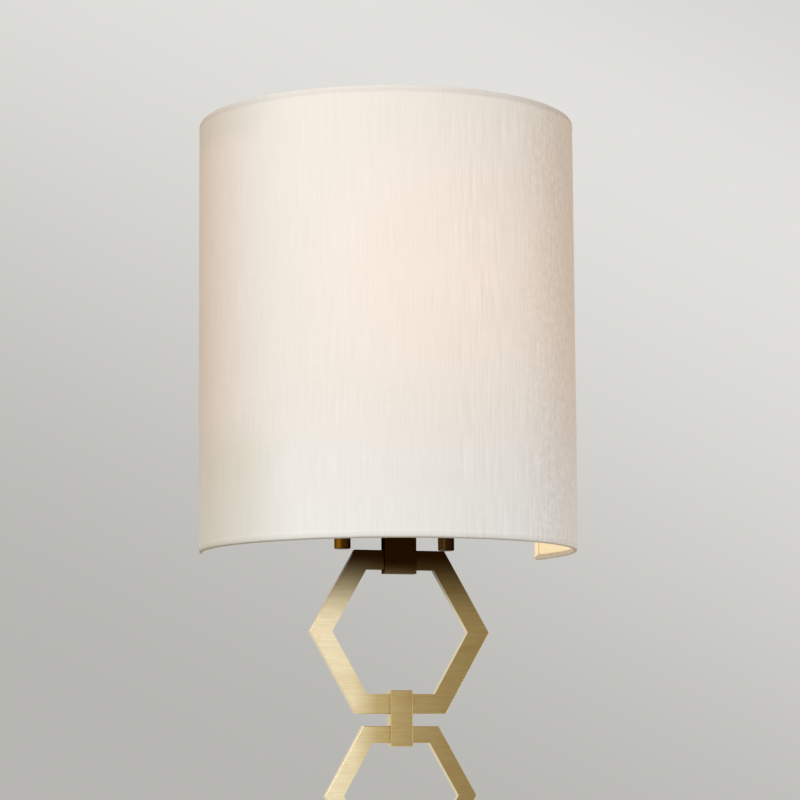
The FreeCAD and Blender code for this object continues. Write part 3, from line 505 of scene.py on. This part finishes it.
def glass(name):
    """Clear thin glass with faint waves, which hides little of what is behind it."""
    paint = Surface(name)
    waves = paint.noise(paint.place, *glass_waves)
    paint.give("Base Color", paint.toned(waves, wide_band, glass_tones))
    paint.give("Roughness", glass_roughness)
    paint.give("Alpha", glass_cover_share)
    paint.carve(waves, glass_relief)
    return paint.material


def glowing(name, colour, strength):
    """The coated filament, lit."""
    paint = Surface(name)
    grains = paint.noise(paint.place, *filament_grain)
    coat = paint.toned(grains, narrow_band, (darker(colour, filament_low_share), colour))
    paint.give("Base Color", coat)
    paint.give("Emission Color", coat)
    paint.give("Emission Strength", strength)
    return paint.material


def cloth_glow(paint, around, along):
    """The lamp's light through the cloth at the front, and on the hem and ends turned in behind."""
    distance = paint.measured("DISTANCE", paint.place, glow_place)
    front = paint.ranged(distance, 0.0, glow_reach, glow_strength, 0.0)
    end = shade_radius * half_angle
    turned_end = paint.ranged(paint.reckoned("ABSOLUTE", around), end, end + end_glow_width,
                              0.0, end_glow_strength)
    turned_hem = paint.ranged(along, *hem_glow_reach, hem_glow_strength, 0.0)
    inner = paint.reckoned("MAXIMUM", turned_end, turned_hem)
    paint.give("Emission Color", paint.mixed(paint.ranged(inner, 0.0, inner_glow_full), glow_colour,
                                             inner_glow_colour))
    paint.give("Emission Strength", paint.reckoned("MAXIMUM", front, inner))


def ivory_cloth(name):
    """Ivory slub cloth: fine upright threads, a faint weft and a nap, with painted lamplight and painted
    shade that turns it tan towards the sides.
    """
    paint = Surface(name)
    plane = paint.sheet_place()
    sheet_axes = paint.axes(plane)
    around = sheet_axes["X"]
    height = paint.axes(paint.place)["Z"]

    threads = paint.noise(plane, *cloth_threads)
    slubs = paint.noise(plane, *cloth_slubs)
    weft = paint.noise(plane, *cloth_weft)
    nap = paint.noise(plane, *cloth_nap)
    weave = paint.added(paint.times(threads, thread_share), slubs, slub_share)
    weave = paint.added(weave, weft, weft_share)
    colour = paint.toned(weave, weave_band, (darker(cloth_colour, cloth_low_share), cloth_colour))

    # Painted lamplight warms the cloth above its bottom
    warm = paint.ranged(height, *steps_from(shade_bottom, lamplit_warm_levels))
    ribbed = paint.ranged(around, *arcs(rib_angles))
    ruffled = paint.ranged(around, *arcs(nap_angles))
    # Painted shade: tan towards the sides
    side_shade_middle = shade_radius * math.radians(side_shade_middle_angle)
    from_middle = paint.reckoned("ABSOLUTE", paint.reckoned("SUBTRACT", around, side_shade_middle))
    side = paint.times(paint.ranged(from_middle, *arcs(side_shade_angles)),
                       paint.added(side_shade_low_share, warm, side_shade_warm_share))
    # Painted shade on the hems
    low_hem = paint.ranged(height, *steps_from(shade_bottom, low_hem_levels), *falling)
    high_hem = paint.ranged(height, *steps_from(shade_top, high_hem_levels))
    # Painted shade low on the left
    left = paint.ranged(around, *arcs(left_angles), *falling)
    low_left = paint.times(paint.ranged(height, *steps_from(shade_bottom, low_left_shade_levels), *falling), left)
    low_left = paint.times(low_left, paint.ranged(around, *arcs(back_angles), back_share, 1.0))
    # Painted lamplight high on the right
    high_right = paint.times(paint.ranged(height, *steps_from(shade_bottom, high_right_glow_levels)),
                             paint.ranged(around, *arcs(high_right_glow_angles)))
    # Painted shade on the roll's underside
    underside = paint.ranged(height, *steps_from(shade_bottom, underside_levels), *falling)
    # Painted shade high on the left
    high_left = paint.times(paint.ranged(height, *steps_from(shade_top, high_left_shade_levels)), left)
    # Each zone tints the colour: painted lamplight, painted shade, and the weave's own rib and nap tones
    zones = ((warm, lamplit_warm_tone),
             (ribbed, paint.toned(threads, narrow_band, rib_tones)),
             (ruffled, paint.toned(nap, nap_band, nap_tones)),
             (side, side_shade_tone),
             (low_hem, low_hem_shade_tone),
             (high_hem, paint.mixed(ribbed, *high_hem_shade_tones)),
             (low_left, low_left_shade_tone),
             (high_right, high_right_glow_tone),
             (underside, underside_shade_tone),
             (high_left, high_left_shade_tone))
    for share, tone in zones:
        colour = paint.tinted(share, colour, tone)
    paint.give("Base Color", colour)
    paint.give("Roughness", cloth_roughness)
    paint.carve(paint.added(weave, nap, nap_share), cloth_relief)
    cloth_glow(paint, around, sheet_axes["Y"])
    return paint.material


def gold_lining(name):
    """The shade's stiff inner face: a warm cream laminate with a faint weave showing through it."""
    paint = Surface(name)
    weave = paint.noise(paint.sheet_place(), *lining_weave)
    height = paint.axes(paint.place)["Z"]
    paint.give("Base Color", paint.toned(weave, wide_band, lining_tones))
    paint.give("Roughness", lining_roughness)
    paint.carve(weave, lining_relief)
    # Painted lamplight: an even glow on the lining
    paint.give("Emission Color", lining_glow_colour)
    glow_levels = steps_from(shade_bottom, lining_glow_levels)
    paint.give("Emission Strength", paint.ranged(height, *glow_levels, *lining_glow))
    return paint.material


def plain_matte(name, colour):
    """A stage surface with a faint unevenness, lifted a little where the camera sees it."""
    paint = Surface(name)
    soft = paint.noise(paint.place, *floor_grain)
    paint.give("Base Color", paint.toned(soft, wide_band, (darker(colour, floor_low_share), colour)))
    paint.give("Roughness", floor_roughness)
    paint.give("Emission Color", colour)
    paint.give("Emission Strength", paint.times(paint.path("Is Camera Ray"), floor_lift))
    return paint.material


def new_object(name, data):
    """An object that is part of the scene."""
    made = bpy.data.objects.new(name, data)
    bpy.context.scene.collection.objects.link(made)
    return made


def on_arc(radius, angle, z):
    """A point of the shade's plan: angle 0 faces the viewer's side, and grows to the right."""
    return Vector((radius * math.sin(angle), shade_axis_y - radius * math.cos(angle), z))


def grid_object(name, rows, uvs, closed_ring, material):
    """A mesh from rows of points, each as long as the others, with its own uv in metres."""
    mesh = bmesh.new()
    layer = mesh.loops.layers.uv.new("cloth")
    made = [[mesh.verts.new(p) for p in row] for row in rows]
    count = len(rows[0])
    steps = count if closed_ring else count - 1
    for i in range(len(rows) - 1):
        for j in range(steps):
            k = (j + 1) % count
            face = mesh.faces.new((made[i][j], made[i][k], made[i + 1][k], made[i + 1][j]))
            face.smooth = not closed_ring
            corner_uvs = (uvs[i][j], uvs[i][k], uvs[i + 1][k], uvs[i + 1][j])
            for loop, corner in zip(face.loops, corner_uvs):
                loop[layer].uv = corner
    if closed_ring:
        mesh.faces.new(list(reversed(made[0])))
        mesh.faces.new(made[-1])
    bmesh.ops.recalc_face_normals(mesh, faces=mesh.faces)
    data = bpy.data.meshes.new(name)
    mesh.to_mesh(data)
    mesh.free()
    data.materials.append(material)
    return new_object(name, data)


def rolled_rim(height, start):
    """The cloth round one rim's wire as (radius, height), from a starting angle on."""
    angles = [start + rim_turn * i / roll_steps for i in range(roll_steps + 1)]
    return [(wire_line_radius + roll_radius * math.cos(angle), height + roll_radius * math.sin(angle))
            for angle in angles]


def cloth_section():
    """The cloth's upright section as (radius, height, distance along it), from the inner lower hem up.

    The wall stands between two rolls; each roll goes round its wire and ends against the lining inside.
    """
    low = shade_bottom + roll_radius
    high = shade_top - roll_radius
    low_hem = low + hem_height
    high_hem = high - hem_height
    hem_face = shade_radius + hem_rise
    hem_edge = shade_radius + hem_rise / 2
    start = low_hem + hem_clear
    rise = high_hem - hem_clear - start
    points = rolled_rim(low, -rim_turn)
    points += [(hem_face, low_hem - hem_slope), (hem_edge, low_hem), (shade_radius, low_hem + hem_slope)]
    points += [(shade_radius, start + rise * i / wall_steps_up) for i in range(wall_steps_up + 1)]
    points += [(shade_radius, high_hem - hem_slope), (hem_edge, high_hem), (hem_face, high_hem + hem_slope)]
    points += rolled_rim(high, 0.0)
    section = [(*points[0], 0.0)]
    for before, now in zip(points, points[1:]):
        section.append((*now, section[-1][2] + math.dist(before, now)))
    return section


def turned_edge(radius):
    """The right upright edge turned round its end wire, as (radius, angle, distance round the shade)."""
    out = radius - wire_line_radius
    full_turn = outer_turn if out > 0 else inner_turn
    edge = []
    for i in range(1, roll_steps + 1):
        turn = full_turn * i / roll_steps
        past = abs(out) * math.sin(turn)
        edge.append((wire_line_radius + out * math.cos(turn), half_angle + past / wire_line_radius,
                     shade_radius * half_angle + abs(out) * turn))
    return edge


def cloth_row(radius):
    """One level of the cloth from its left edge to its right, as (radius, angle, distance round)."""
    shares = [2 * i / wall_steps_round - 1 for i in range(wall_steps_round + 1)]
    wall = [(radius, half_angle * share, shade_radius * half_angle * share) for share in shares]
    right = turned_edge(radius)
    left = [(r, -angle, -reach) for r, angle, reach in reversed(right)]
    return left + wall + right


def shade_cloth(material):
    """The cloth cover as one bent sheet with rolled hems, its upright edges turned round the end wires."""
    rows = []
    uvs = []
    section = cloth_section()
    for radius, z, along in section:
        row = cloth_row(radius)
        rows.append([on_arc(r, angle, z) for r, angle, reach in row])
        uvs.append([(reach, along) for r, angle, reach in row])
    piece = grid_object("shade_cloth", rows, uvs, False, material)
    solidify = piece.modifiers.new("thickness", "SOLIDIFY")
    solidify.thickness = cover_thickness
    solidify.offset = inward
    return piece, section[-1][2]


def shade_back(material):
    """The stiff lining as a closed curved board behind the cloth."""
    outer = lining_radius
    inner = outer - lining_thickness
    low = lining_low.z
    high = lining_high.z
    end = math.acos((shade_axis_y - lining_high.y) / lining_radius) + lining_reach / lining_radius
    rows = []
    uvs = []
    for i in range(lining_steps_round + 1):
        angle = end * (2 * i / lining_steps_round - 1)
        rows.append([on_arc(outer, angle, low), on_arc(outer, angle, high), on_arc(inner, angle, high),
                     on_arc(inner, angle, low)])
        reach = inner * angle
        uvs.append([(reach, 0.0), (reach, high - low), (reach, high - low), (reach, 0.0)])
    return grid_object("shade_backing", rows, uvs, True, material)


# Pieces that share a metal of their own, and the brass and bronze pieces whose edges are broken
clasp_pieces = ("upper_clasp_front", "lower_clasp_front", "upper_clasp_cover", "lower_clasp_cover")
strap_pieces = ("hanger_block", "hanger_cover")
bronze_pieces = ("hanger_screws", "hanger_cover_screws", "arm_bracket", "arm_screws", "left_thumb_screw",
                 "right_thumb_screw", "left_thumb_washer", "right_thumb_washer")
broken_edge_pieces = ("large_hexagon", "middle_hexagon", "small_hexagon", *strap_pieces, *clasp_pieces,
                      "arm_bracket")


def soften_edges():
    """Breaks the sharp edges of the brass pieces a little, so that they catch the light."""
    for name in broken_edge_pieces:
        bevel = nodes[name].modifiers.new("edge", "BEVEL")
        bevel.width = edge_break
        bevel.segments = edge_segments
        bevel.limit_method = "ANGLE"
        bevel.angle_limit = sharp_angle
        bevel.harden_normals = False


def pale_floor():
    """A wide pale floor, left out of the reflections in the metal."""
    half = floor_size / 2
    data = bpy.data.meshes.new("floor")
    corners = [(x, y, floor_z) for x, y in ((-half, -half), (half, -half), (half, half), (-half, half))]
    data.from_pydata(corners, [], [(0, 1, 2, 3)])
    floor = new_object("floor", data)
    data.materials.append(plain_matte("pale_floor", floor_colour))
    floor.visible_glossy = False


def environment(wiring, label, colour, strength):
    """An even light from all round."""
    node = wiring.nodes.new("ShaderNodeBackground")
    node.label = label
    wiring.feed(colour, node.inputs["Color"])
    wiring.feed(strength, node.inputs["Strength"])
    return node.outputs["Background"]


def chosen(wiring, test, otherwise, when_true):
    """One of two shaders, by a test that is 0 or 1."""
    node = wiring.nodes.new("ShaderNodeMixShader")
    for value, socket in zip((test, otherwise, when_true), node.inputs):
        wiring.feed(value, socket)
    return node.outputs["Shader"]


def studio_world():
    """Even light for the object, and a soft grey gradient where the camera sees past it."""
    world = bpy.data.worlds.new("studio")
    bpy.context.scene.world = world
    world.use_nodes = True
    wiring = Wiring(world.node_tree)
    place = wiring.nodes.new("ShaderNodeTexCoord").outputs["Generated"]
    along = wiring.measured("DOT_PRODUCT", place, gradient_way)
    gradient = wiring.ramp(wiring.ranged(along, *gradient_span), gradient_tones)
    gradient = wiring.tinted(1.0, gradient, wiring.ranged(along, *fall_span, 1.0, fall_share))
    seen = wiring.nodes["Background"]
    wiring.feed(gradient, seen.inputs["Color"])
    lit = environment(wiring, "diffuse", diffuse_colour, diffuse_strength)
    mirrored = environment(wiring, "mirrored", mirrored_colour, mirrored_strength)
    shader = chosen(wiring, wiring.path("Is Glossy Ray"), lit, mirrored)
    shader = chosen(wiring, wiring.path("Is Camera Ray"), shader, seen.outputs["Background"])
    output = next(n for n in wiring.nodes if n.type == "OUTPUT_WORLD")
    wiring.feed(shader, output.inputs["Surface"])


def area_light(name, place, target, size, power, colour):
    """A soft square lamp that points at a place."""
    data = bpy.data.lights.new(name, "AREA")
    data.shape = "RECTANGLE"
    data.size, data.size_y = size
    data.energy = power
    data.color = colour
    lamp = new_object(name, data)
    lamp.location = place
    lamp.rotation_euler = (Vector(target) - Vector(place)).to_track_quat("-Z", "Y").to_euler()


def photo_camera():
    """The camera at the photograph's viewing angle."""
    data = bpy.data.cameras.new("camera")
    data.lens = camera_lens
    data.sensor_width = camera_sensor
    data.clip_start = camera_near
    data.clip_end = camera_far
    level = math.cos(camera_pitch)
    forward = Vector((math.sin(camera_yaw) * level, math.cos(camera_yaw) * level, math.sin(camera_pitch)))
    right = Vector((math.cos(camera_yaw), -math.sin(camera_yaw), 0.0))
    up = right.cross(forward)
    rolled_right = math.cos(camera_roll) * right + math.sin(camera_roll) * up
    rolled_up = math.cos(camera_roll) * up - math.sin(camera_roll) * right
    turn = Matrix((rolled_right, rolled_up, -forward)).transposed()
    camera = new_object("camera", data)
    camera.matrix_world = Matrix.Translation(camera_place) @ turn.to_4x4()
    bpy.context.scene.camera = camera


# Materials: most pieces take the one of their slot, some brass and bronze pieces have their own
cloth = ivory_cloth("ivory_slub_cloth")
lining = gold_lining("cream_lining")
by_slot = {"aged_brass": brushed_brass("aged_brass", bar_side_highlight),
           "plated_steel": metal("plated_steel", *steel),
           "nickel": metal("bright_nickel", *nickel),
           "bright_brass": metal("bright_brass", *bright_brass),
           "black_plastic": plastic("black_moulding", *black_moulding),
           "black_rubber": plastic("black_rubber", *black_rubber),
           "white_plastic": plastic("white_nylon", *white_nylon),
           "clear_sheath": plastic("clear_sheath", *clear_sheath, sheath_relief),
           "brown_sleeve": plastic("brown_sleeve", *brown_sleeve, sheath_relief),
           "blue_sleeve": plastic("blue_sleeve", *blue_sleeve, sheath_relief),
           "green_sleeve": plastic("green_sleeve", *green_sleeve, sheath_relief),
           "clear_glass": glass("bulb_glass"),
           "filament": glowing("filament", filament_colour, filament_strength),
           "ivory_fabric": cloth,
           "gold_lining": lining}
shadowed_hanger_brass = brushed_brass("hanger_brass_in_painted_shadow", bar_side_highlight, strap_shadow_levels, bronze_edge)
by_node = {"backplate": brushed_brass("pan_brass", pan_side),
           "large_hexagon": brushed_brass("aged_brass_in_painted_shadow", bar_side_highlight, hexagon_shadow_levels),
           **dict.fromkeys(clasp_pieces, brushed_brass("clasp_brass", clasp_side_highlight)),
           **dict.fromkeys(strap_pieces, shadowed_hanger_brass),
           **dict.fromkeys(bronze_pieces, turned_bronze("dark_bronze"))}
for row in frame["record"]["subparts"]:
    node = nodes[row["node"]]
    node.data.materials.clear()
    node.data.materials.append(by_node.get(row["node"], by_slot[row["material_slot"]]))
soften_edges()

# The shade's cloth and lining take the places of their solids and ride with the shade
cover, cloth_length = shade_cloth(cloth)
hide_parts("shade_fabric")
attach(cover, "shade")

backing = shade_back(lining)
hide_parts("shade_lining")
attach(backing, "shade")

# Stage, light and camera
pale_floor()
studio_world()
area_light("key", *key_lamp)
area_light("fill", *fill_lamp)
photo_camera()
bpy.context.scene.view_settings.view_transform = "Standard"
